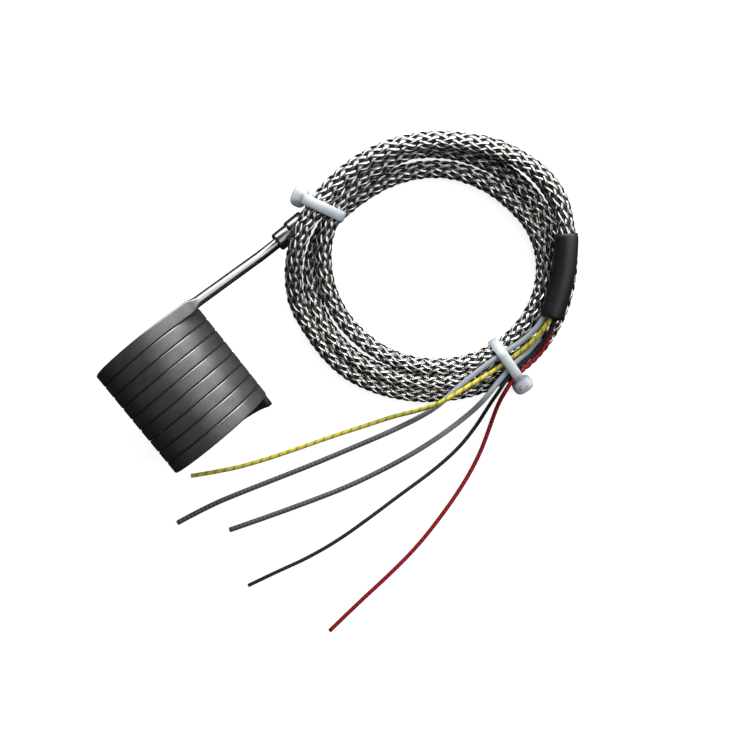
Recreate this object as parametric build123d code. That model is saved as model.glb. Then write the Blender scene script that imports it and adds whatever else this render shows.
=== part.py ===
from build123d import *
import os
from math import acos, atan2, cos, degrees, radians, sin, sqrt, tan

os.makedirs("parts", exist_ok=True)

# Coil heater for the nozzle of a hot runner mould, with a thermocouple inside and a braided lead.
# Sizes are in millimetres. The origin is the middle of the bore, halfway along the winding.
# +Y runs along the bore towards the end that the tail leaves, +Z is up, and the winding lies on
# its side on the bench with its lead wound up and tied beside it.

# The winding, a flat element wound close round the nozzle
bore_radius = 17.0
element_width = 4.2
element_thickness = 2.2
winding_gap = 0.18
winding_turns = 8.78
facets_per_turn = 10
tail_angle = 55.0
end_cap_length = 1.3
end_cap_edge = 0.5

# The tail, where the flat element is swaged round and leaves the winding as a tangent
tail_diameter = 3.5
swage_length = 8.0
tail_length = 44.7
tail_bend_radius = 26.0
tail_wall = 0.4
insulation_length = 4.8

# The conductors that leave the tail
pin_circle_radius = 0.85
power_pin_diameter = 0.56
sensor_pin_diameter = 0.4
pin_depth = 3.8
pin_reach = 3.6
power_splice_diameter = 0.96
sensor_splice_diameter = 0.76
splice_length = 4.0
seal_thickness = 1.0
spacer_length = 5.0
pin_sides = 6

# The ferrule between the tail and the braid, and the ring that crimps the braid on it
ferrule_slope = 13.5
ferrule_heading = 2.2
ferrule_setback = 3.9
ferrule_diameter = 6.2
ferrule_head_length = 5.2
ferrule_edge = 0.4
tail_seat = 4.6
spigot_diameter = 5.0
spigot_wall = 0.4
spigot_length = 6.8
crimp_ring_wall = 0.57
crimp_ring_setback = 0.35
crimp_ring_edge = 0.45
fit_clearance = 0.03
spacer_clearance = 0.08

# The braided lead, wound into an oval coil of three lanes
braid_diameter = 6.0
braid_sides = 12
lane_pitch = 5.0
coil_centre = (87.3, -19.5)
coil_heading = -10.0
end_arc_radius = 34.0
end_arc_spread = 7.7
arc_change = 42.24
lane_start_angle = 100.0
lane_end_angle = 180.0
lane_edge = 1.6
lane_clearance = 0.1

# The shrink sleeve over the end of the braid
sleeve_wall = 0.65
sleeve_clearance = 0.15
wire_circle_radius = 1.9
wire_sides = 6

# The cable ties
strap_width = 3.0
strap_thickness = 1.1
strap_clearance = 0.05
tie_head_width = 6.2
tie_head_height = 6.0
tie_head_depth = 4.6
tie_head_edge = 0.8
tie_stub = 0.7
strap_corner = 1.28
strap_foot = 0.1
upper_head_height = 8.0
lower_head_height = 4.0
upper_tie_place = (68.8, 21.0)
upper_tie_heading = 118
lower_tie_place = (88.0, -55.0)
lower_tie_heading = 268

# Sizes that follow from those above
winding_radius = bore_radius + element_thickness / 2
outer_radius = bore_radius + element_thickness
winding_pitch = element_width + winding_gap
winding_height = winding_turns * winding_pitch
table = -outer_radius
tail_radius = tail_diameter / 2
braid_radius = braid_diameter / 2
lane_height = strap_thickness + strap_clearance + braid_radius
side_arc_spread = end_arc_spread * tan(radians(arc_change))
side_arc_radius = end_arc_radius + end_arc_spread / cos(radians(arc_change))


def direction(slope, heading):
    """A direction that falls by a slope and points along a heading, both in degrees."""
    flat = cos(radians(slope))
    return Vector(flat * cos(radians(heading)), flat * sin(radians(heading)), -sin(radians(slope)))


def place(plane, x, y, z):
    """A point given in a plane's own coordinates."""
    return plane.from_local_coords((x, y, z))


def on_bench(x, y, height):
    """A point given by its height above the bench that everything lies on."""
    return Vector(x, y, table + height)


def route(name, points, diameter):
    """Straight runs joined by arcs, each as large as the two runs beside it allow."""
    radii = []
    for before, corner, after in zip(points, points[1:], points[2:]):
        run = min((corner - before).length, (after - corner).length)
        half_turn = radians((corner - before).get_angle(after - corner)) / 2
        radii.append(0.45 * run / tan(half_turn))
    diameters = [round(radius / diameter, 1) for radius in radii]
    print(name, "arcs in diameters", diameters)
    return points, radii


def path(points, radii):
    return FilletPolyline(*points, radius=radii)


def swept(name, section, line):
    """A section carried along a line, with its volume against section times length."""
    start = Plane(origin=line @ 0, z_dir=line % 0)
    solid = sweep(start * section, path=line)
    ratio = solid.volume / (section.area * line.length)
    print(name, "length", round(line.length, 1), "volume ratio", round(ratio, 4))
    return solid


# Heater coil: a band of flat facets follows the helix, made too thick and trimmed to true walls
winding_start = Plane(
    origin=(0, winding_height / 2, 0),
    x_dir=(cos(radians(tail_angle)), 0, sin(radians(tail_angle))),
    z_dir=(0, -1, 0),
)
helix = Helix(pitch=winding_pitch, height=winding_height, radius=winding_radius)
band = Plane(origin=helix @ 0, x_dir=(1, 0, 0), z_dir=helix % 0)
trim = element_thickness / 2
band_corners = [
    place(band, side * (element_thickness / 2 + trim), edge * element_width / 2, 0)
    for side, edge in ((-1, -1), (1, -1), (1, 1), (-1, 1))
]
stations = round(winding_turns * facets_per_turn)
rings = []
for station in range(stations + 1):
    share = station / stations
    turn = Pos(0, 0, winding_height * share) * Rot(0, 0, 360 * winding_turns * share)
    rings.append([(turn * Pos(*corner)).position for corner in band_corners])
facets = [Face(Wire.make_polygon(ring)) for ring in (rings[0], rings[-1])]
for here, there in zip(rings, rings[1:]):
    for side in range(4):
        far_side = (side + 1) % 4
        facets.append(Face(Wire.make_polygon([here[side], here[far_side], there[side]])))
        facets.append(Face(Wire.make_polygon([here[far_side], there[far_side], there[side]])))
rough_band = Solid(Shell(facets))
half_way = Pos(0, 0, winding_height / 2)
bore = half_way * Cylinder(bore_radius, 2 * winding_height)
outside = half_way * Cylinder(outer_radius, 2 * winding_height)
winding = winding_start * ((rough_band - bore) & outside)

# The flat band turns into a round tail over the swage, then bends towards the ferrule
band_middle = place(winding_start, winding_radius, 0, 0)
band_end = winding.faces().sort_by_distance(band_middle)[0]
tail_direction = direction(90 - tail_angle, 0)
swage_end = band_middle + tail_direction * swage_length
tail_bend = band_middle + tail_direction * tail_length
ferrule_direction = direction(ferrule_slope, ferrule_heading)
ferrule_axis = Plane(origin=tail_bend, x_dir=(0, 1, 0), z_dir=ferrule_direction)
tail_stop = ferrule_setback + tail_seat
outward = Vector(cos(radians(tail_angle)), 0, sin(radians(tail_angle)))
round_plane = Plane(origin=swage_end, x_dir=outward, z_dir=tail_direction)
quarters = [CenterArc((0, 0), tail_radius, start, 90) for start in (45, 135, 225, 315)]
round_section = round_plane * make_face(quarters)
swage = loft([band_end, round_section.face()]) - winding_start * bore
tail_line = FilletPolyline(
    swage_end, tail_bend, place(ferrule_axis, 0, 0, tail_stop), radius=tail_bend_radius
)
tail = swept("tail", Circle(tail_radius), tail_line)
tail_bore_radius = tail_radius - tail_wall
insulation_start = tail_stop - insulation_length


def on_axis(start, length, radius):
    """A cylinder on the ferrule's axis, placed by its distance from the tail's bend."""
    along = (Align.CENTER, Align.CENTER, Align.MIN)
    return ferrule_axis * Pos(0, 0, start) * Cylinder(radius, length, align=along)


heater_coil = winding + swage + tail - on_axis(insulation_start, insulation_length, tail_bore_radius)

# End cap: a plug welded over the far end of the element
band_far = Plane(origin=helix @ 1, x_dir=(helix @ 1) - Vector(0, 0, winding_height), z_dir=helix % 1)
end_cap = extrude(band_far * Rectangle(element_thickness, element_width), amount=end_cap_length)
cap_tip = end_cap.faces().sort_by_distance(band_far.origin)[-1]
end_cap = winding_start * chamfer(cap_tip.edges(), end_cap_edge)

# Conductors: two power pins side by side, with the two thermocouple pins above and below them
pin_places = {
    "power_pin_1": (pin_circle_radius, 0, power_pin_diameter),
    "power_pin_2": (-pin_circle_radius, 0, power_pin_diameter),
    "sensor_pin_iron": (0, pin_circle_radius, sensor_pin_diameter),
    "sensor_pin_constantan": (0, -pin_circle_radius, sensor_pin_diameter),
}
splice_places = {
    "power_splice_1": (pin_circle_radius, 0, power_splice_diameter, power_pin_diameter),
    "power_splice_2": (-pin_circle_radius, 0, power_splice_diameter, power_pin_diameter),
    "sensor_splice_1": (0, pin_circle_radius, sensor_splice_diameter, sensor_pin_diameter),
    "sensor_splice_2": (0, -pin_circle_radius, sensor_splice_diameter, sensor_pin_diameter),
}
cavity_radius = spigot_diameter / 2 - spigot_wall
seal_start = tail_stop
spacer_start = seal_start + seal_thickness
splice_start = spacer_start + (spacer_length - splice_length) / 2


def off_axis(x, y, start, length, radius):
    """A prism of few sides beside the ferrule's axis, for the pins, the splices and their holes."""
    return ferrule_axis * Pos(x, y, start) * extrude(RegularPolygon(radius, pin_sides), amount=length)


tail_insulation = on_axis(insulation_start, insulation_length, tail_bore_radius - fit_clearance)
tail_seal = on_axis(seal_start, seal_thickness, cavity_radius - fit_clearance)
pin_spacer = on_axis(spacer_start, spacer_length, cavity_radius - spacer_clearance)
pins = {}
pin_start = tail_stop - pin_depth
pin_length = pin_depth + seal_thickness + pin_reach
for name, (x, y, diameter) in pin_places.items():
    pins[name] = off_axis(x, y, pin_start, pin_length, diameter / 2)
    pin_hole = off_axis(x, y, pin_start, pin_length, diameter / 2 + fit_clearance)
    tail_insulation -= pin_hole
    tail_seal -= pin_hole

# Splices: crimped tubes that join each pin to its lead, held apart by the ceramic spacer
splices = {}
for name, (x, y, diameter, pin_diameter) in splice_places.items():
    tube = off_axis(x, y, splice_start, splice_length, diameter / 2)
    splices[name] = tube - off_axis(x, y, splice_start, splice_length, pin_diameter / 2 + fit_clearance)
    pin_spacer -= off_axis(x, y, spacer_start, spacer_length, diameter / 2 + spacer_clearance)

# Ferrule: a stepped sleeve over the end of the tail, with a spigot that goes inside the braid
ferrule_radius = ferrule_diameter / 2
ferrule_front = ferrule_setback
ferrule_step = ferrule_front + ferrule_head_length
ferrule_end = ferrule_step + spigot_length
tail_bore = tail_radius + fit_clearance
ferrule_profile = Polyline(
    (tail_bore, ferrule_front),
    (ferrule_radius - ferrule_edge, ferrule_front),
    (ferrule_radius, ferrule_front + ferrule_edge),
    (ferrule_radius, ferrule_step),
    (spigot_diameter / 2, ferrule_step),
    (spigot_diameter / 2, ferrule_end),
    (cavity_radius, ferrule_end),
    (cavity_radius, tail_stop),
    (tail_bore, tail_stop),
    close=True,
)
upright = Plane(origin=(0, 0, 0), x_dir=(1, 0, 0), z_dir=(0, -1, 0))
ferrule = ferrule_axis * revolve(upright * make_face(ferrule_profile), axis=Axis.Z)

# Crimp ring: pressed down over the braid, with rolled edges
ring_bore = braid_radius + fit_clearance
ring_radius = ring_bore + crimp_ring_wall
ring_start = ferrule_step + crimp_ring_setback
ring_profile = Polyline(
    (ring_bore, ring_start),
    (ring_radius - crimp_ring_edge, ring_start),
    (ring_radius, ring_start + crimp_ring_edge),
    (ring_radius, ferrule_end - crimp_ring_edge),
    (ring_radius - crimp_ring_edge, ferrule_end),
    (ring_bore, ferrule_end),
    close=True,
)
braid_crimp_ring = ferrule_axis * revolve(upright * make_face(ring_profile), axis=Axis.Z)

# Wound coil of the lead: an oval of four tangent arcs, given by its distance from the middle lane
coil_plane = Plane(
    origin=(*coil_centre, table + lane_height),
    x_dir=(cos(radians(coil_heading)), sin(radians(coil_heading)), 0),
    z_dir=(0, 0, 1),
)


def oval(offset):
    """The area inside an oval that runs a distance outside the middle lane."""
    end_radius = end_arc_radius + offset
    side_radius = side_arc_radius + offset
    arcs = [
        CenterArc((end_arc_spread, 0), end_radius, -arc_change, 2 * arc_change),
        CenterArc((0, -side_arc_spread), side_radius, arc_change, 180 - 2 * arc_change),
        CenterArc((-end_arc_spread, 0), end_radius, 180 - arc_change, 2 * arc_change),
        CenterArc((0, side_arc_spread), side_radius, 180 + arc_change, 180 - 2 * arc_change),
    ]
    return make_face(arcs)


def lanes(outer, inner):
    """Lanes of braid that lie side by side between two ovals, with eased upper edges."""
    flat = Pos(0, 0, -braid_radius) * (oval(outer) - oval(inner))
    solid = extrude(flat, amount=braid_diameter, dir=(0, 0, 1))
    upper_edges = solid.edges().filter_by(GeomType.CIRCLE).group_by(Axis.Z)[-1]
    return chamfer(upper_edges, lane_edge)


coil_half_width = lane_pitch + braid_radius
lane_split = lane_pitch - braid_radius - lane_clearance
sector_reach = 3 * side_arc_radius


def from_angle(centre, radius, angle):
    return (centre[0] + radius * cos(radians(angle)), centre[1] + radius * sin(radians(angle)))


start_centre = (0, -side_arc_spread)
end_centre = (-end_arc_spread, 0)
gap_sector = Polygon(
    start_centre,
    from_angle(start_centre, sector_reach, lane_start_angle),
    from_angle(end_centre, sector_reach, (lane_start_angle + lane_end_angle) / 2),
    from_angle(end_centre, sector_reach, lane_end_angle),
    end_centre,
    align=None,
)
inner_lanes = lanes(lane_split, -coil_half_width)
outer_lane = lanes(coil_half_width, lane_split)
outer_lane -= extrude(gap_sector, amount=braid_diameter, both=True)
braid_coil = coil_plane * (inner_lanes + outer_lane)

# Braid from the crimp ring to the coil: it starts over the spigot and meets the outer lane
start_place = from_angle(start_centre, side_arc_radius + lane_pitch, lane_start_angle)
end_place = from_angle(end_centre, end_arc_radius + lane_pitch, lane_end_angle)
lane_start = place(coil_plane, *start_place, 0)
lane_end = place(coil_plane, *end_place, 0)
start_heading = coil_heading + lane_start_angle - 90
end_heading = coil_heading + lane_end_angle - 90
lead_in_points, lead_in_radii = route(
    "braid lead in",
    [
        place(ferrule_axis, 0, 0, ferrule_step),
        place(ferrule_axis, 0, 0, ferrule_end + 4.6),
        lane_start - direction(0, start_heading) * 7.0,
        lane_start,
    ],
    braid_diameter,
)
braid_section = RegularPolygon(braid_radius, braid_sides)
in_line = path(lead_in_points, lead_in_radii)
lead_in = swept("braid lead in", braid_section, in_line)
spigot_room = on_axis(ferrule_step, spigot_length, spigot_diameter / 2 + fit_clearance)
braid_lead_in = lead_in - spigot_room

# Braid from the coil up over the lanes, round the top and into the sleeve: each point's place,
# and how far it is above a braid that rests on the lanes
over_lanes = lane_height + braid_diameter
sleeve_mouth = on_bench(107.6, -53.6, over_lanes + 1.05)
climb = [
    (46.6, 4.4, -4.05), (51.4, 10.6, -0.95), (57.6, 16.2, 1.85), (66.5, 20.4, 1.85),
    (76.8, 22.7, 0.85), (88.0, 23.0, 0.25), (99.5, 20.5, 0.25), (110.6, 14.8, 0.25),
    (120.4, 6.2, 0.25), (127.6, -3.6, 0.25), (131.6, -13.6, 0.35), (132.0, -23.8, 0.65),
    (128.2, -33.0, 0.95), (122.1, -41.2, 1.05), (115.2, -47.9, 1.05),
]
lead_out_points, lead_out_radii = route(
    "braid lead out",
    [
        lane_end,
        lane_end + direction(0, end_heading) * 8.0,
        *[on_bench(x, y, over_lanes + rise) for x, y, rise in climb],
        sleeve_mouth,
    ],
    braid_diameter,
)
braid_end = (lead_out_points[-2] + sleeve_mouth) / 2
out_line = path(lead_out_points[:-1] + [braid_end], lead_out_radii)
braid_lead_out = swept("braid lead out", braid_section, out_line)

# Shrink sleeve: follows the last bends of the braid and runs past its cut end
sleeve_start = (lead_out_points[-4] + lead_out_points[-3]) / 2
sleeve_path = path([sleeve_start] + lead_out_points[-3:], lead_out_radii[-2:])
sleeve_bore = RegularPolygon(braid_radius + sleeve_clearance, braid_sides, major_radius=False)
sleeve_radius = braid_radius + sleeve_clearance + sleeve_wall
sleeve_section = RegularPolygon(sleeve_radius, braid_sides) - sleeve_bore
heat_shrink_sleeve = swept("sleeve", sleeve_section, sleeve_path)

# Wires: each starts on the braid's cut end, at its own angle round it, 0 being away from the coil
wire_heading = sleeve_mouth - braid_end
wire_plane = Plane(
    origin=braid_end,
    x_dir=Vector(-wire_heading.Y, wire_heading.X, 0),
    z_dir=wire_heading,
)
wire_lead = 1.15 * wire_heading.length
wire_routes = {
    "earth_wire": (1.45, 100, [
        (98.9, -56.6, 10.0), (91.0, -57.2, 8.3), (83.0, -57.2, 8.3), (75.2, -56.3, 9.2),
        (67.2, -55.4, 10.5), (60.2, -54.5, 10.1), (52.8, -52.8, 6.1), (45.6, -50.6, 2.3),
        (36.0, -47.8, 0.8), (23.7, -43.6, 0.75), (10.9, -39.7, 0.75), (-2.2, -35.4, 0.75),
        (-13.2, -30.9, 0.75), (-23.4, -25.5, 0.75),
    ]),
    "power_wire_1": (1.8, 180, [
        (97.4, -54.7, 9.3), (89.2, -54.2, 8.35), (80.0, -54.0, 8.35), (70.4, -54.4, 8.35),
        (61.0, -55.6, 8.5), (54.6, -55.9, 5.2), (47.8, -55.5, 2.3), (39.8, -54.2, 0.95),
        (29.0, -51.6, 0.92), (15.6, -48.4, 0.92), (1.3, -44.6, 0.92), (-12.4, -40.9, 0.92),
        (-25.6, -37.6, 0.92), (-38.0, -35.9, 0.92),
    ]),
    "power_wire_2": (1.8, 250, [
        (97.9, -58.6, 8.6), (89.6, -59.1, 8.35), (82.6, -60.8, 8.4), (75.6, -62.9, 8.3),
        (69.8, -64.7, 5.2), (63.6, -65.8, 2.3), (56.2, -66.3, 0.95), (45.0, -65.8, 0.92),
        (32.0, -64.1, 0.92), (17.5, -61.4, 0.92), (3.6, -57.6, 0.92), (-10.8, -53.4, 0.92),
        (-25.0, -49.0, 0.92),
    ]),
    "sensor_wire_black": (1.3, 30, [
        (99.6, -60.0, 9.4), (90.6, -60.9, 8.1), (84.8, -61.9, 8.2), (80.2, -63.8, 8.1),
        (75.9, -66.0, 5.0), (71.4, -68.5, 2.3), (66.2, -71.0, 0.75), (57.0, -73.7, 0.67),
        (45.0, -74.9, 0.67), (31.5, -74.9, 0.67), (18.0, -75.2, 0.67), (3.4, -75.2, 0.67),
        (-10.0, -73.8, 0.67), (-21.6, -71.3, 0.67), (-32.8, -69.3, 0.67),
    ]),
    "sensor_wire_red": (1.45, 325, [
        (100.4, -61.4, 8.7), (91.2, -62.5, 8.15), (85.8, -63.4, 8.2), (81.6, -65.3, 7.6),
        (78.0, -67.6, 4.8), (73.8, -70.9, 2.2), (68.6, -75.0, 0.8), (61.2, -80.0, 0.75),
        (50.6, -85.2, 0.75), (37.2, -90.0, 0.75), (23.8, -93.9, 0.75), (9.9, -96.3, 0.75),
        (-5.4, -98.2, 0.75), (-20.1, -100.5, 0.75),
    ]),
}
wires = {}
wire_lines = {}
for name, (diameter, angle, places) in wire_routes.items():
    around = from_angle((0, 0), wire_circle_radius, angle)
    points = [place(wire_plane, *around, 0), place(wire_plane, *around, wire_lead)]
    points += [on_bench(*place) for place in places]
    points, radii = route(name, points, diameter)
    wire_lines[name] = path(points, radii)
    wires[name] = swept(name, RegularPolygon(diameter / 2, wire_sides), wire_lines[name])


def crossing(line, plane, low, high):
    """Where a line passes through a plane between two of its parameters."""
    side = plane.to_local_coords(line @ low).Z > 0
    for step in range(40):
        middle = (low + high) / 2
        if (plane.to_local_coords(line @ middle).Z > 0) == side:
            low = middle
        else:
            high = middle
    return plane.to_local_coords(line @ low)


# Cable ties: a strap pulled tight round what it holds, a head, and the strap's end cut off short
def belt(circles, extra):
    """The area inside a belt pulled tight round circles that each grow by an extra radius."""
    order = []
    for angle in range(360):
        across, up = cos(radians(angle)), sin(radians(angle))
        furthest = max(circles, key=lambda circle: circle[0] * across + circle[1] * up + circle[2])
        if furthest not in order:
            order.append(furthest)
    leaves = []
    for here, there in zip(order, order[1:] + order[:1]):
        apart = Vector(there[0] - here[0], there[1] - here[1], 0)
        towards = atan2(apart.Y, apart.X)
        leaves.append(degrees(towards - acos((here[2] - there[2]) / apart.length)))
    edges = []
    for number, (across, up, radius) in enumerate(order):
        arrive, leave = leaves[number - 1], leaves[number]
        edges.append(CenterArc((across, up), radius + extra, arrive, (leave - arrive) % 360))
    for number, leave in enumerate(leaves):
        here, there = order[number], order[(number + 1) % len(order)]
        start = from_angle(here, here[2] + extra, leave)
        edges.append(Line(start, from_angle(there, there[2] + extra, leave)))
    return make_face(edges)


def cable_tie(plane, section, reach, head_height):
    """section lists circles that the strap goes round: how far out, how far up and the radius."""
    inside = belt(section, strap_clearance)
    outside = belt(section, strap_clearance + strap_thickness)
    strap = extrude(outside - inside, amount=strap_width / 2, both=True)
    head_across = reach + strap_clearance + tie_head_depth / 2
    head = Pos(head_across, head_height, 0) * Box(tie_head_depth, tie_head_height, tie_head_width)
    head = chamfer(head.edges().filter_by(Axis.Z), tie_head_edge)
    stub = Pos(head_across, head_height + tie_head_height / 2, 0)
    stub *= Box(strap_thickness, 2 * tie_stub, strap_width)
    return plane * (strap + (head - extrude(inside, amount=tie_head_width, both=True)) + stub)


def tie_plane(x, y, heading):
    """A plane that stands on the bench across the lanes, with x outwards and y up."""
    out = direction(0, heading)
    return Plane(origin=on_bench(x, y, 0), x_dir=out, z_dir=out.cross(Vector(0, 0, 1)))


def lane_across(plane, arc_centre, offset):
    """How far out a plane meets the lanes' side arc, a distance outside the middle lane."""
    centre = place(coil_plane, *arc_centre, 0)
    centre = Vector(centre.X, centre.Y, plane.origin.Z)
    back = (plane.origin - centre).dot(plane.x_dir)
    apart = (plane.origin - centre).length
    radius = side_arc_radius + offset
    return sqrt(radius**2 - apart**2 + back**2) - back


def strap_section(plane, arc_centre, outer_offset, lines):
    """Circles that a strap goes round, each wide enough for what passes under both its edges."""
    edges = [plane.offset(-strap_width / 2), plane.offset(strap_width / 2)]
    inner = min(lane_across(edge, arc_centre, -coil_half_width) for edge in edges)
    outer = max(lane_across(edge, arc_centre, outer_offset) for edge in edges)
    low = lane_height - braid_radius + strap_foot
    high = lane_height + braid_radius - strap_corner
    circles = []
    for up, radius in ((low, strap_foot), (high, strap_corner)):
        circles += [(inner + radius, up, radius), (outer - radius, up, radius)]
    for line, low_part, high_part, radius in lines:
        first, second = (crossing(line, edge, low_part, high_part) for edge in edges)
        middle = (first + second) / 2
        shift = Vector(second.X - first.X, second.Y - first.Y, 0).length / 2
        circles.append((middle.X, middle.Y, radius + shift))
    return circles


# Upper tie: stands across the lanes where the lead comes in, and holds the lead that goes out
upper_plane = tie_plane(*upper_tie_place, upper_tie_heading)
upper_lines = [
    (in_line, 0.3, 1.0, braid_radius + 2 * strap_clearance),
    (out_line, 0.1, 0.4, braid_radius),
]
upper_section = strap_section(upper_plane, start_centre, lane_split, upper_lines)
upper_reach = max(across + radius for across, up, radius in upper_section)
upper_cable_tie = cable_tie(upper_plane, upper_section, upper_reach, upper_head_height)

# Lower tie: stands across all three lanes and holds the wires down on them
lower_plane = tie_plane(*lower_tie_place, lower_tie_heading)
lower_centre = (0, side_arc_spread)
lower_lines = [
    (wire_lines[name], 0.05, 0.35, diameter / 2)
    for name, (diameter, angle, places) in wire_routes.items()
]
lower_section = strap_section(lower_plane, lower_centre, coil_half_width, lower_lines)
lower_reach = max(across + radius for across, up, radius in lower_section)
lower_cable_tie = cable_tie(lower_plane, lower_section, lower_reach, lower_head_height)

for name, solid in {
    "heater_coil": heater_coil,
    "end_cap": end_cap,
    "tail_insulation": tail_insulation,
    "tail_seal": tail_seal,
    "pin_spacer": pin_spacer,
    **pins,
    **splices,
    "ferrule": ferrule,
    "braid_crimp_ring": braid_crimp_ring,
    "braid_lead_in": braid_lead_in,
    "braid_coil": braid_coil,
    "braid_lead_out": braid_lead_out,
    "heat_shrink_sleeve": heat_shrink_sleeve,
    **wires,
    "upper_cable_tie": upper_cable_tie,
    "lower_cable_tie": lower_cable_tie,
}.items():
    export_step(solid, f"parts/{name}.step")
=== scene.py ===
from math import copysign, cos, pi, radians, sin, tan

import bmesh
import bpy
from mathutils import Matrix, Vector


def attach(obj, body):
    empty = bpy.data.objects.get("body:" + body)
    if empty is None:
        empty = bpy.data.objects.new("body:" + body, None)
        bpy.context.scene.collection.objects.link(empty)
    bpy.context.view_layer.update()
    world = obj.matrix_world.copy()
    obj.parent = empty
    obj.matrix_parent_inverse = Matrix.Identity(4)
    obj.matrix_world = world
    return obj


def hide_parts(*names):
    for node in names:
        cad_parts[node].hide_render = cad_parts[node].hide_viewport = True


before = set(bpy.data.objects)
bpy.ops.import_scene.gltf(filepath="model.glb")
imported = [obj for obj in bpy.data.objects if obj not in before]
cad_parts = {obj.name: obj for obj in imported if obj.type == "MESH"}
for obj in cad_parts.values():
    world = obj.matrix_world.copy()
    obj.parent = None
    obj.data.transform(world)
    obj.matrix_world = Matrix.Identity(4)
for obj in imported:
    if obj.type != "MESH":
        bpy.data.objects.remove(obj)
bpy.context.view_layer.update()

# Camera
# Lengths are millimetres in the CAD's frame. The camera looks down on the bench, turned so that the
# heater's bore points up to the left and its lead lies to the right.
MM = 0.001
BENCH = -19.2
RIGHT = Vector((0.7984, -0.6021, 0.0))
UP = Vector((0.593, 0.7863, -0.1736))
BACK = RIGHT.cross(UP)
camera_place = Vector((80.4, 5.7, 274.8))
camera_data = bpy.data.cameras.new("camera")
camera_data.lens = 41.8
camera_data.sensor_width = 36
camera_data.clip_start = 0.01
camera = bpy.data.objects.new("camera", camera_data)
facing = Matrix((RIGHT, UP, BACK)).transposed().to_4x4()
camera.matrix_world = Matrix.Translation(camera_place * MM) @ facing
bpy.context.scene.collection.objects.link(camera)
bpy.context.scene.camera = camera


# Floor, lights and the white around them
# A large sheet of matte white paper carries the heater and takes its soft shadow. Wide soft lamps in
# a room that is otherwise dark give the bright metal its white streaks and black edges.
def linear(hex_colour):
    """Linear RGBA from an sRGB hex colour."""
    parts = [int(hex_colour[start : start + 2], 16) / 255 for start in (1, 3, 5)]
    straight = [p / 12.92 if p <= 0.04045 else ((p + 0.055) / 1.055) ** 2.4 for p in parts]
    return (*straight, 1)


def set_sockets(tree, node, sockets):
    """Sets a node's sockets, each to a value or to the output of another node."""
    for name, value in sockets.items():
        if isinstance(value, bpy.types.NodeSocket):
            tree.links.new(value, node.inputs[name])
        else:
            node.inputs[name].default_value = value


def add_node(tree, kind, sockets=None, **settings):
    """A shader node with its settings made and its sockets set."""
    node = tree.nodes.new(kind)
    for name, value in settings.items():
        setattr(node, name, value)
    set_sockets(tree, node, sockets or {})
    return node


def material(name, colour, metallic, roughness):
    """A new material, its node tree and its surface shader."""
    made = bpy.data.materials.new(name)
    made.use_nodes = True
    surface = made.node_tree.nodes["Principled BSDF"]
    set_sockets(made.node_tree, surface, {
        "Base Color": linear(colour), "Metallic": metallic, "Roughness": roughness,
    })
    return made, made.node_tree, surface


# Sockets of a node that mixes two colours
FROM_COLOUR, TO_COLOUR, MIXED_COLOUR = 6, 7, 2

# White paper: it shows white to the eye, and stays dull in the metal's reflections
paper_look, tree, surface = material("matte_white_paper", "#f2f2f2", 0.0, 0.9)
seen = add_node(tree, "ShaderNodeLightPath").outputs["Is Camera Ray"]
paper = add_node(tree, "ShaderNodeMix", {
    "Factor": seen, FROM_COLOUR: linear("#3c3c3c"), TO_COLOUR: linear("#bcbcbc"),
}, data_type="RGBA")
paper_glow = add_node(tree, "ShaderNodeMath", {0: seen, 1: 0.86}, operation="MULTIPLY")
set_sockets(tree, surface, {
    "Base Color": paper.outputs[MIXED_COLOUR], "Specular IOR Level": 0,
    "Emission Color": linear("#ffffff"), "Emission Strength": paper_glow.outputs[0],
})
bpy.ops.mesh.primitive_plane_add(size=3000 * MM, location=(80 * MM, -20 * MM, BENCH * MM))
floor = bpy.context.object
floor.name = "floor"
floor.data.materials.append(paper_look)

world = bpy.data.worlds.new("studio")
world.use_nodes = True
tree = world.node_tree
seen = add_node(tree, "ShaderNodeLightPath").outputs["Is Camera Ray"]
room_glow = add_node(tree, "ShaderNodeMath", {0: seen, 1: 0.97, 2: 0.03}, operation="MULTIPLY_ADD")
set_sockets(tree, tree.nodes["Background"], {
    "Color": linear("#ffffff"), "Strength": room_glow.outputs[0],
})
bpy.context.scene.world = world
bpy.context.scene.view_settings.view_transform = "Standard"

lit_middle = Vector((70, -20, -10))


def lamp(name, offset, width, depth, power):
    """A soft rectangular lamp, offset from the middle of the scene and aimed at it."""
    data = bpy.data.lights.new(name, "AREA")
    data.shape = "RECTANGLE"
    data.size = width * MM
    data.size_y = depth * MM
    data.energy = power
    obj = bpy.data.objects.new(name, data)
    obj.location = (lit_middle + offset) * MM
    obj.rotation_euler = (-offset).normalized().to_track_quat("-Z", "Y").to_euler()
    bpy.context.scene.collection.objects.link(obj)


lamp("key", UP * 430 + BACK * 210, 800, 200, 4.6)
lamp("side", Vector((430, 60, 190)), 700, 400, 1.9)
lamp("top", UP * 60 + RIGHT * 230 + BACK * 440, 340, 500, 1.3)
lamp("fill", BACK * 300 - UP * 330 - RIGHT * 250, 500, 400, 0.12)

# Heater coil
# A heating wire in magnesia inside a steel sheath, swaged flat and wound in a close screw round the
# bore. Past the last turn the sheath is round again, and runs on as the bent tail into the ferrule.
bore_radius, winding_pitch, winding_turns = 17.0, 4.38, 8.78
element_width, element_thickness, element_corner = 4.34, 2.2, 0.5
tail_angle, tail_radius, tail_stop = radians(55), 1.75, 8.5
swage_length, flat_share = 14.5, 0.7
tail_bend, tail_bend_radius = Vector((47.0, 19.23, -10.81)), 26.0
ferrule_axis = Vector((0.9717, 0.0373, -0.2335))
rings_per_turn, swage_rings, bend_steps, corner_points = 96, 24, 12, 6
winding_height = winding_pitch * winding_turns
mid_radius = bore_radius + element_thickness / 2

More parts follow.
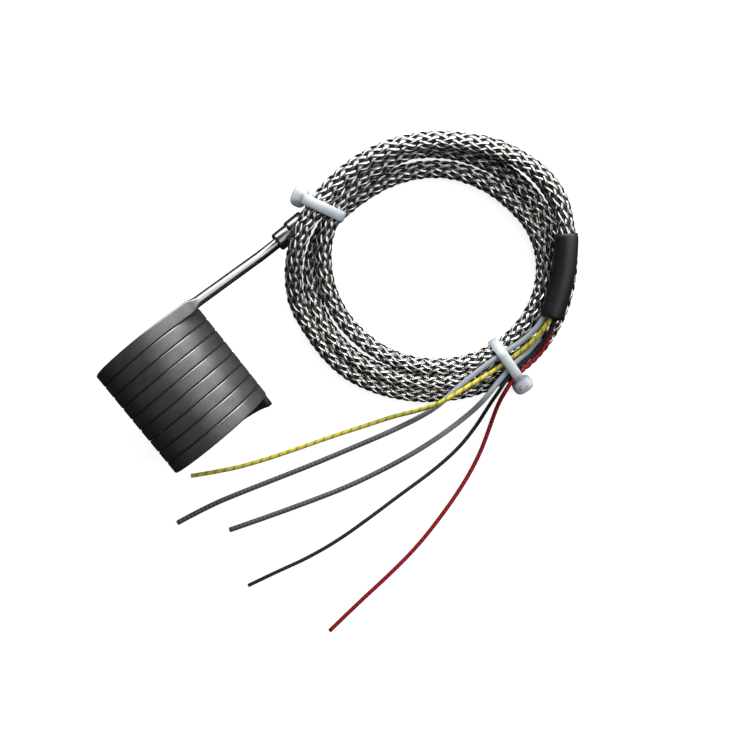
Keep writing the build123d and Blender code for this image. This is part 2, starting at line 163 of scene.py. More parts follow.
# Steel oxidised by the heat treatment: nearly black with a broad soft sheen and faint clouds. A band
# along one outer corner of each turn is a painted highlight, and the tail is drawn steel without oxide.
cloud_size, grain_size = 3.846, 0.3846
highlight_place, highlight_inner, highlight_outer = 0.07, 0.03, 0.06
oxide_look, tree, surface = material("oxidised_steel", "#565b5d", 0.7, 0.45)
coords = add_node(tree, "ShaderNodeTexCoord")
clouds = add_node(tree, "ShaderNodeTexNoise", {
    "Vector": coords.outputs["Object"], "Scale": 1 / (cloud_size * MM), "Detail": 3.0,
})
cloud_share = add_node(tree, "ShaderNodeMapRange", {
    "Value": clouds.outputs[0], "From Min": 0.3, "From Max": 0.7,
})
oxide = add_node(tree, "ShaderNodeMix", {
    "Factor": cloud_share.outputs[0], FROM_COLOUR: linear("#505251"), TO_COLOUR: linear("#5d5f5e"),
}, data_type="RGBA")
split = add_node(tree, "ShaderNodeSeparateXYZ", {"Vector": coords.outputs["UV"]})
drawn = add_node(tree, "ShaderNodeMapRange", {
    "Value": split.outputs[1], "From Min": swage_rings - 5, "From Max": swage_rings + 1,
})
# A band along one outer corner of each turn is painted brighter, glossier and more metallic: a painted
# highlight where the rounded edge would catch the lamp.
off_edge = add_node(tree, "ShaderNodeMath", {0: split.outputs[0], 1: highlight_place}, operation="SUBTRACT")
off_edge = add_node(tree, "ShaderNodeMath", {0: off_edge.outputs[0]}, operation="ABSOLUTE")
painted_highlight = add_node(tree, "ShaderNodeMapRange", {
    "Value": off_edge.outputs[0], "From Min": highlight_outer, "From Max": highlight_inner, "To Max": 0.75,
})
bare_and_highlight = add_node(tree, "ShaderNodeMath", {0: drawn.outputs[0], 1: painted_highlight.outputs[0]}, operation="MAXIMUM")
bare_and_highlight = bare_and_highlight.outputs[0]
steel = add_node(tree, "ShaderNodeMix", {
    "Factor": bare_and_highlight, FROM_COLOUR: oxide.outputs[MIXED_COLOUR], TO_COLOUR: linear("#7b7d7d"),
}, data_type="RGBA")
roughness = add_node(tree, "ShaderNodeMath", {0: bare_and_highlight, 1: -0.2, 2: 0.45}, operation="MULTIPLY_ADD")
metallic = add_node(tree, "ShaderNodeMath", {0: bare_and_highlight, 1: 0.3, 2: 0.7}, operation="MULTIPLY_ADD")
grain = add_node(tree, "ShaderNodeTexNoise", {
    "Vector": coords.outputs["Object"], "Scale": 1 / (grain_size * MM), "Detail": 2.0,
})
relief = add_node(tree, "ShaderNodeBump", {
    "Height": grain.outputs[0], "Distance": 0.04 * MM, "Strength": 0.5,
})
set_sockets(tree, surface, {
    "Base Color": steel.outputs[MIXED_COLOUR], "Roughness": roughness.outputs[0],
    "Metallic": metallic.outputs[0], "Normal": relief.outputs[0],
})


def piece(name, mesh, look, slot, *nodes):
    """A mesh as an object that rides on the heater and may stand for nodes of the CAD."""
    mesh.materials.append(look)
    obj = bpy.data.objects.new(name, mesh)
    bpy.context.scene.collection.objects.link(obj)
    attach(obj, "root")
    if nodes:
        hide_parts(*nodes)
    return obj


def start_ring(points):
    """A bmesh and its first ring of edges. Each vertex keeps its share of the way round the ring,
    which the vertices made from it inherit."""
    bm = bmesh.new()
    for layer in ("around", "along"):
        bm.verts.layers.float.new(layer)
    around = bm.verts.layers.float["around"]
    ring = [bm.verts.new(point * MM) for point in points]
    for k, vertex in enumerate(ring):
        vertex[around] = k / len(ring)
        bm.edges.new((ring[k - 1], vertex))
    return bm, ring


def extend(bm, ring, points, along):
    """Extrudes a ring of edges, moves the new ring onto the points and gives it back."""
    edges = [bm.edges.get((ring[k - 1], ring[k])) for k in range(len(ring))]
    made = set(bmesh.ops.extrude_edge_only(bm, edges=edges)["geom"])
    layer = bm.verts.layers.float["along"]
    following = []
    for vertex, point in zip(ring, points):
        beyond = next(e.other_vert(vertex) for e in vertex.link_edges if e.other_vert(vertex) in made)
        beyond.co = point * MM
        beyond[layer] = along
        following.append(beyond)
    return following


def finish_mesh(bm, name):
    """The mesh of a bmesh, its faces outwards and all but its flat ends smooth."""
    for layer in bm.verts.layers.float.keys():
        bm.verts.layers.float.remove(bm.verts.layers.float[layer])
    bmesh.ops.recalc_face_normals(bm, faces=bm.faces)
    for face in bm.faces:
        face.smooth = len(face.verts) <= 4
    mesh = bpy.data.meshes.new(name)
    bm.to_mesh(mesh)
    bm.free()
    return mesh


def finish_sweep(bm, name, ends=()):
    """The mesh of a swept bmesh, with its ends closed and UVs that tell round from along."""
    uv = bm.loops.layers.uv.new("UVMap")
    around, along = bm.verts.layers.float["around"], bm.verts.layers.float["along"]
    for face in bm.faces:
        shares = [loop.vert[around] for loop in face.loops]
        on_seam = max(shares) - min(shares) > 0.5
        for loop, share in zip(face.loops, shares):
            loop[uv].uv = (1.0 if on_seam and share == 0 else share, loop.vert[along])
    for ring in ends:
        bm.faces.new(ring)
    return finish_mesh(bm, name)


def frames_along(points, first):
    """Origin, two crosswise directions and tangent at each point, carried along without twist."""
    frames = []
    across = Vector(first)
    for n, point in enumerate(points):
        tangent = (points[min(n + 1, len(points) - 1)] - points[max(n - 1, 0)]).normalized()
        across = (across - tangent * across.dot(tangent)).normalized()
        frames.append((point, across, tangent.cross(across), tangent))
    return frames


def winding_frame(turned):
    """Middle of the element, outwards and onwards, so many turns from where the tail leaves."""
    a = tail_angle + 2 * pi * turned
    outward = Vector((cos(a), 0, sin(a)))
    onward = Vector((-sin(a), -winding_pitch / (2 * pi * mid_radius), cos(a))).normalized()
    middle = outward * mid_radius + Vector((0, winding_height / 2 - winding_pitch * turned, 0))
    return middle, outward, onward


def placed(middle, outward, across, section):
    return [middle + outward * u + across * v for u, v in section]


# Points of the flat section and of the round one, from quarter to quarter
flat, rounded = [], []
for quarter, (sx, sy) in enumerate(((1, 1), (-1, 1), (-1, -1), (1, -1))):
    for k in range(corner_points):
        a = radians(90 * quarter + 90 * k / (corner_points - 1))
        flat.append((sx * (element_thickness / 2 - element_corner) + element_corner * cos(a),
                     sy * (element_width / 2 - element_corner) + element_corner * sin(a)))
        b = radians(90 * quarter + 90 * (k + 0.5) / corner_points)
        rounded.append((tail_radius * cos(b), tail_radius * sin(b)))

# The winding is one screw, spun from the welded end to where the tail leaves
middle, outward, onward = winding_frame(winding_turns)
bm, far_ring = start_ring(placed(middle, outward, onward.cross(outward), flat))
winding_rings = round(rings_per_turn * winding_turns)
spun = bmesh.ops.spin(
    bm, geom=bm.verts[:] + bm.edges[:], cent=(0, 0, 0), axis=(0, 1, 0), angle=2 * pi * winding_turns,
    dvec=(0, winding_height / winding_rings * MM, 0), steps=winding_rings,
)
around = bm.verts.layers.float["around"]
ring = sorted((v for v in spun["geom_last"] if isinstance(v, bmesh.types.BMVert)),
              key=lambda vertex: vertex[around])

# The swage keeps the flat section at first and then turns it round
band_middle, outward, onward = winding_frame(0)
tail_way = Vector((sin(tail_angle), 0, -cos(tail_angle)))
for k in range(1, swage_rings + 1):
    share = max(0.0, (k / swage_rings - flat_share) / (1 - flat_share))
    ease = share * share * (3 - 2 * share)
    section = [(u0 + (u1 - u0) * ease, v0 + (v1 - v0) * ease)
               for (u0, v0), (u1, v1) in zip(flat, rounded)]
    middle = band_middle + tail_way * swage_length * k / swage_rings
    ring = extend(bm, ring, placed(middle, outward, onward.cross(outward), section), k)

# The tail is straight, bent once and straight again up to its stop in the ferrule
bend_angle = tail_way.angle(ferrule_axis)
bend_start = tail_bend - tail_way * tail_bend_radius * tan(bend_angle / 2)
hinge = tail_way.cross(ferrule_axis).normalized()
bend_centre = bend_start + hinge.cross(tail_way) * tail_bend_radius
tail_path = [bend_start]
for k in range(1, bend_steps + 1):
    swing = Matrix.Rotation(bend_angle * k / bend_steps, 3, hinge)
    tail_path.append(bend_centre + swing @ (bend_start - bend_centre))
tail_path.append(tail_bend + ferrule_axis * tail_stop)
for k, (middle, out, beside, _) in enumerate(frames_along(tail_path, outward), swage_rings + 1):
    ring = extend(bm, ring, placed(middle, out, -beside, rounded), k)
coil_mesh = finish_sweep(bm, "heater_coil_skin", (far_ring, ring))
piece("heater_coil_skin", coil_mesh, oxide_look, "oxidised_sheath", "heater_coil")

# End weld
# A small bead of weld closes the far end of the element, nearly flush with its sides. It is ground
# off and left with the weld's burnt colour.
weld_half_sizes, weld_set_back = (1.08, 2.05, 0.8), 0.2

# Burnt weld steel: dull and dark beside the sheen of the coil
weld_look, _, _ = material("burnt_weld_steel", "#2a2a29", 1.0, 0.5)


def rounded_block(bm, frame_at, half_sizes, squareness):
    """A ball pressed towards a block about its own middle, rounder as squareness nears one."""
    ball = bmesh.ops.create_uvsphere(bm, u_segments=24, v_segments=16, radius=1)
    for vertex in ball["verts"]:
        pressed = [copysign(abs(part) ** squareness, part) for part in vertex.co]
        vertex.co = frame_at(*(half * part for half, part in zip(half_sizes, pressed))) * MM


middle, outward, onward = winding_frame(winding_turns)
bm = bmesh.new()
rounded_block(bm, lambda u, v, w: middle + outward * u + onward.cross(outward) * v
              + onward * (w - weld_set_back), weld_half_sizes, 0.45)
piece("end_weld", finish_mesh(bm, "end_weld"), weld_look, "oxidised_sheath", "end_cap")

# Ferrule and crimp ring
# The ferrule is turned from steel bar and bored for the tail and the pins. The crimp ring is a short
# tube pressed over the first of the braid on the ferrule's back end.
ferrule_outline = [
    (1.78, 3.9), (2.65, 3.9), (2.82, 3.95), (2.98, 4.1), (3.08, 4.35), (3.1, 4.6), (3.1, 8.8),
    (3.05, 9.0), (2.9, 9.1), (2.5, 9.1), (2.5, 15.9), (2.1, 15.9), (2.1, 8.5), (1.78, 8.5),
]
crimp_ring_outline = [
    (3.03, 9.45), (3.3, 9.45), (3.45, 9.55), (3.57, 9.75), (3.6, 10.0), (3.6, 15.2),
    (3.56, 15.55), (3.45, 15.78), (3.3, 15.88), (3.03, 15.9),
]
ferrule_side = ferrule_axis.cross(Vector((0, 0, 1))).normalized()
ferrule_top = ferrule_side.cross(ferrule_axis)

# Turned steel: bright, with crisp dark reflections along its length
turned_look, _, _ = material("turned_steel", "#77797a", 1.0, 0.26)


def lathe(name, outline, node, steps=72):
    """A shape turned on the ferrule's axis, from an outline of radius and distance along it."""
    bm, _ = start_ring([tail_bend + ferrule_axis * along + ferrule_top * radius
                        for radius, along in outline])
    bmesh.ops.spin(bm, geom=bm.verts[:] + bm.edges[:], cent=tail_bend * MM, axis=ferrule_axis,
                   angle=2 * pi, steps=steps, use_merge=True)
    piece(name, finish_sweep(bm, name), turned_look, "turned_steel", node)


lathe("ferrule_skin", ferrule_outline, "ferrule")
lathe("crimp_ring_skin", crimp_ring_outline, "braid_crimp_ring")

# Braided lead
# Stainless wires in flat bundles, eight wound each way, cross over and under each other round glass
# sleeving. The lead is wound in an oval of nearly three turns, and climbs over them for part of one.
coil_centre = (87.3, -19.5)
coil_heading = radians(-10)
coil_long, coil_short = 41.7, 37.4
steps_per_turn = 16


def on_bench(x, y, height):
    return Vector((x, y, BENCH + height))


def on_coil(angle, offset, height):
    """A point given by its angle on the oval and its distance outside the middle lane."""
    spread = 1 / cos(pi / steps_per_turn)
    a = radians(angle)
    normal = Vector((cos(a) / coil_long, sin(a) / coil_short)).normalized()
    x = (coil_long * cos(a) + offset * normal.x) * spread
    y = (coil_short * sin(a) + offset * normal.y) * spread
    return on_bench(coil_centre[0] + x * cos(coil_heading) - y * sin(coil_heading),
                    coil_centre[1] + x * sin(coil_heading) + y * cos(coil_heading), height)


# Angle, distance outside the middle lane and height, from the ferrule to where the lead climbs
lanes = [
    (108, 4.2, 3.2), (90, 3.4, 3.0), (65, 0.8, 3.0), (45, -1.4, 3.2), (25, -2.8, 3.6),
    (5, -3.4, 4.0), (-20, -1.6, 4.1), (-50, 0.2, 4.4), (-80, 0.8, 4.6), (-100, -0.1, 4.7),
    (-120, -1.6, 4.7), (-150, -1.2, 4.6), (-172, -0.5, 4.4), (-196, 0.7, 4.0), (-214, 1.4, 3.5),
    (-232, 0.6, 3.1), (-248, -2.2, 3.2), (-264, -3.6, 3.4), (-282, -4.2, 3.7), (-310, -6.9, 3.9),
    (-329, -8.7, 3.9), (-349, -8.7, 3.9), (-368, -6.8, 4.0), (-390, -5.2, 4.3), (-410, -4.2, 4.7),
    (-437, -3.8, 5.0), (-460, -4.9, 5.0), (-480, -6.4, 5.0), (-515, -7.9, 4.8), (-531, -7.4, 4.6),
    (-546, -6.2, 4.7), (-562, -4.4, 5.6), (-578, -2.2, 7.4), (-592, 0.0, 8.8), (-610, 1.3, 8.4),
    (-630, 1.4, 7.6), (-655, 2.4, 6.6), (-680, 3.6, 5.4), (-700, 3.7, 4.4), (-720, 3.0, 3.6),
    (-741, 2.4, 3.1), (-764, 3.2, 3.0), (-782, 4.9, 3.0), (-800, 5.1, 3.0), (-820, 4.1, 3.0),
    (-840, 3.3, 3.0), (-860, 3.4, 3.2), (-880, 4.2, 3.6), (-900, 4.9, 4.2),
]


def lane_at(angle):
    """Distance and height at an angle, read between the rows of the table."""
    for (a, offset_a, height_a), (b, offset_b, height_b) in zip(lanes, lanes[1:]):
        if b <= angle <= a:
            share = (a - angle) / (a - b)
            return offset_a + share * (offset_b - offset_a), height_a + share * (height_b - height_a)
    return lanes[-1][1:]


lead_route = [tail_bend + ferrule_axis * along for along in (9.1, 14.8, 20.5)]
turn_step = 360 / steps_per_turn
for step in range(int((lanes[0][0] - lanes[-1][0]) / turn_step) + 1):
    angle = lanes[0][0] - step * turn_step
    lead_route.append(on_coil(angle, *lane_at(angle)))
lead_route += [on_bench(*place) for place in (
    (42.4, -3.0, 5.2), (46.0, 4.4, 8.0), (51.2, 10.8, 11.0), (57.8, 16.2, 12.6), (66.5, 20.6, 12.6),
    (76.8, 22.9, 11.8), (88.0, 23.3, 11.2), (99.5, 20.8, 10.8), (110.6, 15.0, 10.4),
    (120.4, 6.4, 10.4), (127.6, -3.6, 10.4), (131.6, -13.6, 10.5), (132.0, -23.8, 10.8),
    (128.2, -33.0, 11.1), (122.1, -41.2, 11.2), (115.2, -47.9, 11.2), (111.4, -50.75, 11.2),
)]


def route_points(name, points, resolution):
    """Points along one smooth spline whose control points are a cord's route."""
    curve = bpy.data.curves.new(name, "CURVE")
    curve.dimensions = "3D"
    curve.resolution_u = resolution
    spline = curve.splines.new("NURBS")
    spline.points.add(len(points) - 1)
    for control, point in zip(spline.points, points):
        control.co = (*(point * MM), 1)
    spline.order_u = 3
    spline.use_endpoint_u = True
    line = bpy.data.objects.new(name, curve)
    mesh = bpy.data.meshes.new_from_object(line)
    sampled = [vertex.co / MM for vertex in mesh.vertices]
    bpy.data.objects.remove(line)
    bpy.data.meshes.remove(mesh)
    return sampled


def distances(points):
    """Distance of each point from the first, along the line."""
    reach = [0.0]
    for here, there in zip(points, points[1:]):
        reach.append(reach[-1] + (there - here).length)
    return reach


def along_line(line, spacing):
    """Evenly spaced points of a line."""
    reach = distances(line)
    count = round(reach[-1] / spacing)
    out, n = [], 0
    for k in range(count + 1):
        wanted = reach[-1] * k / count
        while n < len(reach) - 2 and reach[n + 1] < wanted:
            n += 1
        out.append(line[n].lerp(line[n + 1], (wanted - reach[n]) / (reach[n + 1] - reach[n])))
    return out


def circle_ring(frame, radius, count):
    """Points of a circle round a frame's origin."""
    origin, across, beside, _ = frame
    turns = [2 * pi * k / count for k in range(count)]
    return [origin + (across * cos(a) + beside * sin(a)) * radius for a in turns]


def sweep(name, rings, along, closed=True):
    """A mesh extruded from each ring of points to the next."""
    bm, ring = start_ring(rings[0])
    ends = [ring]
    for points, reached in zip(rings[1:], along[1:]):
        ring = extend(bm, ring, points, reached)
    return finish_sweep(bm, name, ends + [ring] if closed else ())


def tube(name, points, radius, count):
    rings = [circle_ring(frame, radius, count) for frame in frames_along(points, (0, 0, 1))]
    return sweep(name, rings, distances(points))


lead_line = route_points("lead_route", lead_route, 16)
lead_length = distances(lead_line)[-1]

# Bright stainless wire with sharp white glints. Each bundle's edges are painted black, a painted shade
# where they dive under the next. Five ridges stand for its wires, which are too fine to show.
wires_shown = 5
braid_look, tree, surface = material("bright_braid_wire", "#dedcd9", 1.0, 0.22)
uv = add_node(tree, "ShaderNodeTexCoord").outputs["UV"]
split = add_node(tree, "ShaderNodeSeparateXYZ", {"Vector": uv})
ridges = add_node(tree, "ShaderNodeMath", {
    0: split.outputs[0], 1: 2 * pi * wires_shown,
}, operation="MULTIPLY")
ridges = add_node(tree, "ShaderNodeMath", {0: ridges.outputs[0]}, operation="SINE")
relief = add_node(tree, "ShaderNodeBump", {
    "Height": ridges.outputs[0], "Distance": 0.08 * MM, "Strength": 0.6,
})
# Each bundle is painted darker towards its edges, down to black: painted shade where the bundle dives
# under the next.
off_middle = add_node(tree, "ShaderNodeMath", {0: split.outputs[0], 1: 0.5}, operation="SUBTRACT")
off_middle = add_node(tree, "ShaderNodeMath", {0: off_middle.outputs[0]}, operation="ABSOLUTE")
painted_edge_shade = add_node(tree, "ShaderNodeMapRange", {
    "Value": off_middle.outputs[0], "From Min": 0.2, "From Max": 0.42,
})
bundle = add_node(tree, "ShaderNodeMix", {
    "Factor": painted_edge_shade.outputs[0], FROM_COLOUR: linear("#f0eeeb"), TO_COLOUR: linear("#12110f"),
}, data_type="RGBA")
set_sockets(tree, surface, {
    "Base Color": bundle.outputs[MIXED_COLOUR], "Normal": relief.outputs[0],
})

# Glass sleeving under the braid, drawn nearly black as painted shade in the gaps between the bundles
core_shade_look, _, _ = material("glass_sleeving_painted_shade", "#0d0d0c", 0.0, 0.9)
carriers, lay = 8, 42.0
core_radius, braid_radius, weave_lift = 2.45, 3.0, 0.3
bundle_width, bundle_thickness = 1.28, 0.45
bundle_section = ((-0.5, 1.0), (-0.36, 0.25), (0.0, 0.0), (0.36, 0.25), (0.5, 1.0))
crossing = lay / (2 * carriers)
lead_core = piece("lead_core", tube("lead_core", along_line(lead_line, 1.4), core_radius, 16),
                  core_shade_look, "steel_braid", "braid_lead_in", "braid_coil", "braid_lead_out")
braid_line = along_line(lead_line, crossing / 6)
braid_frames = frames_along(braid_line, (0, 0, 1))
braid_reach = distances(braid_line)


def bundle_ring(frame, reached, carrier, hand):
    """Points across one flat bundle, which rises over and sinks under those of the other hand."""
    origin, across, beside, tangent = frame
    angle = 2 * pi * (carrier / carriers + hand * reached / lay)
    radius = braid_radius - weave_lift + hand * weave_lift * cos(pi * reached / crossing)
    out = across * cos(angle) + beside * sin(angle)
    round_way = beside * cos(angle) - across * sin(angle)
    run = (tangent * lay + round_way * (hand * 2 * pi * radius)).normalized()
    wide = out.cross(run) * bundle_width
    return [(origin + (out * radius + wide * u).normalized() * (radius - bundle_thickness * drop)) * MM
            for u, drop in bundle_section]


def braid(name, hand):
    """All the bundles wound one way, as one mesh of strips."""
    verts, faces, uvs = [], [], []
    points_across = len(bundle_section)
    for carrier in range(carriers):
        for n, (frame, reached) in enumerate(zip(braid_frames, braid_reach)):
            row = len(verts)
            verts += bundle_ring(frame, reached, carrier, hand)
            uvs += [(u + 0.5, reached) for u, _ in bundle_section]
            if n:
                before = row - points_across
                faces += [(before + k, before + k + 1, row + k + 1, row + k)[::hand]
                          for k in range(points_across - 1)]
    mesh = bpy.data.meshes.new(name)
    mesh.from_pydata(verts, [], faces)
    layer = mesh.uv_layers.new(name="UVMap")
    for loop in mesh.loops:
        layer.data[loop.index].uv = uvs[loop.vertex_index]
    mesh.shade_smooth()
    return piece(name, mesh, braid_look, "steel_braid")


braid_pieces = [braid("braid_right_hand", 1), braid("braid_left_hand", -1)]

# Shrink sleeve
# Black tube shrunk over the cut end of the braid, a little uneven, with soft narrowed rims. The free
# wires come out of its mouth.
sleeve_mouth = on_bench(107.6, -53.6, 11.2)
sleeve_cover, sleeve_radius, sleeve_bore = 23.5, 3.8, 3.2
rim_narrowing = {0: 0.28, 1: 0.08}

# Black polyolefin: nearly black and half matte, with a soft long highlight
wrinkle_size = 2.857
sleeve_look, tree, surface = material("black_polyolefin", "#0a0b0c", 0.0, 0.5)
where = add_node(tree, "ShaderNodeTexCoord").outputs["Object"]
wrinkles = add_node(tree, "ShaderNodeTexNoise", {
    "Vector": where, "Scale": 1 / (wrinkle_size * MM), "Detail": 2.0,
})
relief = add_node(tree, "ShaderNodeBump", {
    "Height": wrinkles.outputs[0], "Distance": 0.3 * MM, "Strength": 0.35,
})
set_sockets(tree, surface, {"Normal": relief.outputs[0]})
covered = [point for point, reached in zip(lead_line, distances(lead_line))
           if reached > lead_length - sleeve_cover]
sleeve_frames = frames_along(along_line(covered + [sleeve_mouth], 0.8), (0, 0, 1))
outer = []
for n, frame in enumerate(sleeve_frames):
    from_rim = min(n, len(sleeve_frames) - 1 - n)
    outer.append(circle_ring(frame, sleeve_radius - rim_narrowing.get(from_rim, 0), 40))
inner = [circle_ring(frame, sleeve_bore, 40) for frame in sleeve_frames]
sleeve_rings = [inner[0]] + outer + inner[:-4:-1]
piece("sleeve", sweep("sleeve", sleeve_rings, range(len(sleeve_rings)), closed=False), sleeve_look,
      "shrink_sleeve", "heat_shrink_sleeve")

# Wires
# Five stranded wires, the grey pair for the heat, black and red for the thermocouple and a striped
# one for earth. They leave the braid inside the sleeve, pass under the lower tie and fan out.
heading = (sleeve_mouth - lead_route[-1]).normalized()
wire_side = Vector((-heading.y, heading.x, 0)).normalized()
wire_up = heading.cross(wire_side)
bunch_radius, straight_start = 1.9, 5.46

# Diameter, angle in the bunch, insulation, and the route as x, y and height
wires = {
    "earth_wire": (1.45, 100, "earth_insulation", [
        (98.9, -56.6, 10.0), (91.0, -57.2, 8.3), (83.0, -57.2, 8.3), (75.2, -56.3, 9.2),
        (67.2, -55.4, 10.5), (60.2, -54.5, 10.1), (52.8, -52.8, 6.1), (45.6, -50.6, 2.3),
        (36.0, -47.8, 0.8), (23.7, -43.6, 0.75), (10.9, -39.7, 0.75), (-2.2, -35.4, 0.75),
        (-13.2, -30.9, 0.75), (-23.4, -25.5, 0.75),
    ]),
    "power_wire_1": (1.8, 180, "power_insulation", [
        (97.4, -54.7, 9.3), (89.2, -54.2, 8.35), (80.0, -54.0, 8.35), (70.4, -54.4, 8.35),
        (61.0, -55.6, 8.5), (54.6, -55.9, 5.2), (47.8, -55.5, 2.3), (39.8, -54.2, 0.95),
        (29.0, -51.6, 0.92), (15.6, -48.4, 0.92), (1.3, -44.6, 0.92), (-12.4, -40.9, 0.92),
        (-25.6, -37.6, 0.92), (-38.0, -35.9, 0.92),
    ]),
    "power_wire_2": (1.8, 250, "power_insulation", [
        (97.9, -58.6, 8.6), (89.6, -59.1, 8.35), (82.6, -60.8, 8.4), (75.6, -62.9, 8.3),
        (69.8, -64.7, 5.2), (63.6, -65.8, 2.3), (56.2, -66.3, 0.95), (45.0, -65.8, 0.92),
        (32.0, -64.1, 0.92), (17.5, -61.4, 0.92), (3.6, -57.6, 0.92), (-10.8, -53.4, 0.92),
        (-25.0, -49.0, 0.92),
    ]),
    "sensor_wire_black": (1.3, 30, "black_insulation", [
        (99.6, -60.0, 9.4), (90.6, -60.9, 8.1), (84.8, -61.9, 8.2), (80.2, -63.8, 8.1),
        (75.9, -66.0, 5.0), (71.4, -68.5, 2.3), (66.2, -71.0, 0.75), (57.0, -73.7, 0.67),
        (45.0, -74.9, 0.67), (31.5, -74.9, 0.67), (18.0, -75.2, 0.67), (3.4, -75.2, 0.67),
        (-10.0, -73.8, 0.67), (-21.6, -71.3, 0.67), (-32.8, -69.3, 0.67),
    ]),
    "sensor_wire_red": (1.45, 325, "red_insulation", [
        (100.4, -61.4, 8.7), (91.2, -62.5, 8.15), (85.8, -63.4, 8.2), (81.6, -65.3, 7.6),
        (78.0, -67.6, 4.8), (73.8, -70.9, 2.2), (68.6, -75.0, 0.8), (61.2, -80.0, 0.75),
        (50.6, -85.2, 0.75), (37.2, -90.0, 0.75), (23.8, -93.9, 0.75), (9.9, -96.3, 0.75),
        (-5.4, -98.2, 0.75), (-20.1, -100.5, 0.75),
    ]),
}
stripe_blur = 0.03

# Distances from a wire's start between which its pale colour near the sleeve turns darker
pale_until, darker_from = 50.0, 78.0


def insulation(name, base, stripe, pitch, width, hands, roughness, pale_colour=None):
    """Insulation with ridged threads a pitch apart, wound by one hand or by both. The optional last
    colour is its paler colour near the sleeve, which turns darker further along."""
    made, tree, surface = material(name, base, 0.0, roughness)
    uv = add_node(tree, "ShaderNodeTexCoord").outputs["UV"]
    split = add_node(tree, "ShaderNodeSeparateXYZ", {"Vector": uv})
    turns = add_node(tree, "ShaderNodeMath", {0: split.outputs[1], 1: pitch}, operation="DIVIDE")
    threads = []
    for hand in hands:
        wound = add_node(tree, "ShaderNodeMath", {
            0: split.outputs[0], 1: hand, 2: turns.outputs[0],
        }, operation="MULTIPLY_ADD")
        thread = add_node(tree, "ShaderNodeMath", {0: wound.outputs[0], 1: 0.5}, operation="PINGPONG")
        threads.append(thread.outputs[0])
    nearest = add_node(tree, "ShaderNodeMath", {0: threads[0], 1: threads[-1]}, operation="MINIMUM")
    off_thread = add_node(tree, "ShaderNodeMapRange", {
        "Value": nearest.outputs[0], "From Min": width / 2 - stripe_blur,
        "From Max": width / 2 + stripe_blur,
    })
    colour = add_node(tree, "ShaderNodeMix", {
        "Factor": off_thread.outputs[0], FROM_COLOUR: linear(stripe), TO_COLOUR: linear(base),
    }, data_type="RGBA")
    if pale_colour:
        darkening = add_node(tree, "ShaderNodeMapRange", {
            "Value": split.outputs[1], "From Min": pale_until, "From Max": darker_from,
        })
        colour = add_node(tree, "ShaderNodeMix", {
            "Factor": darkening.outputs[0], FROM_COLOUR: linear(pale_colour),
            TO_COLOUR: colour.outputs[MIXED_COLOUR],
        }, data_type="RGBA")
    ridge = add_node(tree, "ShaderNodeBump", {
        "Height": nearest.outputs[0], "Distance": 0.1 * MM, "Strength": 0.5,
    }, invert=True)
    set_sockets(tree, surface, {
        "Base Color": colour.outputs[MIXED_COLOUR], "Normal": ridge.outputs[0],
    })
    return made


# Lacquered glass yarn gives a soft shine and fine slanting threads, drawn coarser than they are so
# that they show. The earth wire is yellow with one green thread, paled by the lacquer.
insulations = {
    "earth_insulation": insulation("yellow_green_lacquer", "#d2c434", "#9a9348", 3.3, 0.3, (1,), 0.4),
    "power_insulation": insulation("grey_glass_braid", "#43494e", "#5d656b", 1.5, 0.3, (1, -1), 0.6,
                                   "#99a1a8"),
    "black_insulation": insulation("black_glass_braid", "#17181a", "#2a2b2d", 1.5, 0.3, (1, -1), 0.55),
    "red_insulation": insulation("red_glass_braid", "#b01222", "#7d0b18", 1.6, 0.35, (1, -1), 0.5),
}
for name, (diameter, angle, slot, places) in wires.items():
    aside = wire_side * cos(radians(angle)) + wire_up * sin(radians(angle))
    start = lead_route[-1] + aside * bunch_radius
    points = [start, start + heading * straight_start] + [on_bench(*place) for place in places]
    line = along_line(route_points(name + "_route", points, 12), 0.8)
    wire = piece(name + "_insulation", tube(name, line, diameter / 2, 20), insulations[slot], slot, name)

# Cable ties
# Moulded nylon ties pulled tight round the wound lead: a flat strap, a head with soft edges and the
# strap's end cut off short beside it.
strap_width, strap_thickness, strap_edge, strap_clearance = 3.4, 1.1, 0.28, 0.05
head_half_sizes, stub_half_sizes, stub_rise = (2.7, 3.1, 3.5), (0.55, 0.7, 1.5), 3.0

# Natural nylon: milky, with light that sinks in and blurs its shading
nylon_look, tree, surface = material("natural_nylon", "#c3cbd2", 0.0, 0.34)
set_sockets(tree, surface, {
    "Subsurface Weight": 0.6, "Subsurface Scale": 4 * MM, "Subsurface Radius": (1, 1, 1),
})


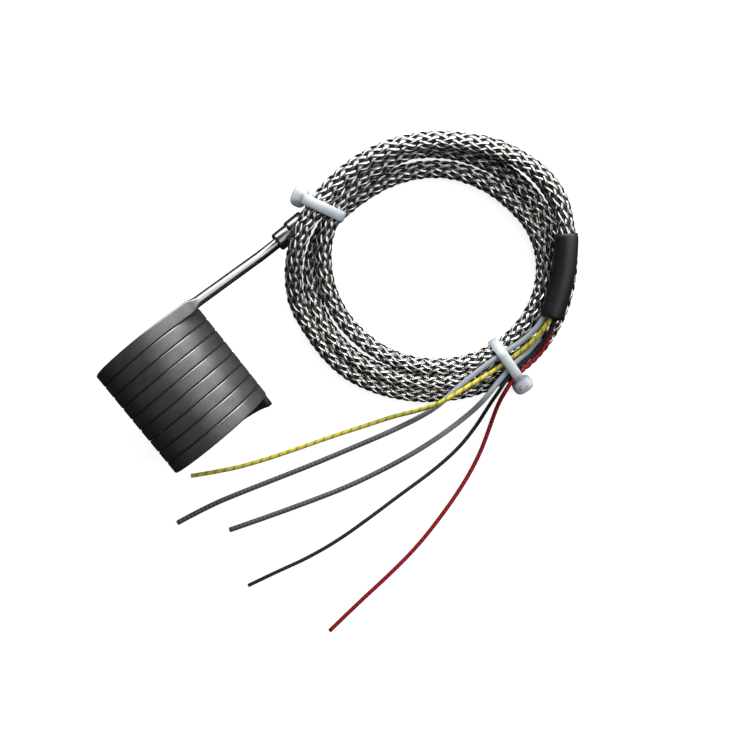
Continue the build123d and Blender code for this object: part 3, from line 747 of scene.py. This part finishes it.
def belt(circles, steps=10):
    """Points of a belt pulled tight round circles (across, up, radius), anticlockwise."""
    order = []
    for degree in range(0, 360, 2):
        c, d = cos(radians(degree)), sin(radians(degree))
        furthest = max(circles, key=lambda circle: circle[0] * c + circle[1] * d + circle[2])
        if not order or order[-1][0] is not furthest:
            order.append([furthest, degree, degree])
        order[-1][2] = degree
    points = []
    for (across, up, radius), first, last in order:
        for k in range(steps + 1):
            a = radians(first + (last - first) * k / steps)
            points.append((across + radius * cos(a), up + radius * sin(a)))
    return points


def cable_tie(name, place, heading, circles, head):
    """A tie that stands on the bench across the braids: its places are outwards and up."""
    out = Vector((cos(radians(heading)), sin(radians(heading)), 0))
    beside = out.cross(Vector((0, 0, 1)))
    origin = on_bench(*place, 0)

    def tie_at(across, up, along):
        return origin + out * across + Vector((0, 0, up)) + beside * along

    inside = belt([(across, up, radius + strap_clearance) for across, up, radius in circles])
    outside = belt([(across, up, radius + strap_clearance + strap_thickness)
                    for across, up, radius in circles])
    half, edge = strap_width / 2, strap_edge
    section = [(0, -half), (1 - edge, -half), (1, edge - half), (1, half - edge), (1 - edge, half),
               (0, half)]
    rings = [[tie_at(xi + (xo - xi) * t, yi + (yo - yi) * t, w) for t, w in section]
             for (xi, yi), (xo, yo) in zip(inside, outside)]
    bm, ring = start_ring(rings[0])
    for points in rings[1:] + rings[:1]:
        ring = extend(bm, ring, points, 0)
    rounded_block(bm, lambda u, v, w: tie_at(head[0] + u, head[1] + v, w), head_half_sizes, 0.72)
    rounded_block(bm, lambda u, v, w: tie_at(head[0] + u, head[1] + stub_rise + v, w), stub_half_sizes,
                  0.3)
    bmesh.ops.remove_doubles(bm, verts=bm.verts, dist=1e-4 * MM)
    piece(name + "_skin", finish_mesh(bm, name + "_skin"), nylon_look, "natural_nylon", name)


cable_tie("upper_cable_tie", (68.8, 21.0), 118, [
    (0.6, 12.6, 3.1), (0.2, 3.6, 3.1), (-5.2, 8.6, 3.1), (-5.2, 3.4, 3.1),
], (6.3, 8.0))
cable_tie("lower_cable_tie", (88.0, -55.0), 268, [
    (-1.8, 4.1, 3.0), (6.9, 4.1, 3.0), (-0.4, 8.6, 1.0), (2.4, 8.6, 1.0), (5.6, 8.3, 1.0),
    (7.2, 8.1, 0.9),
], (12.9, 4.0))
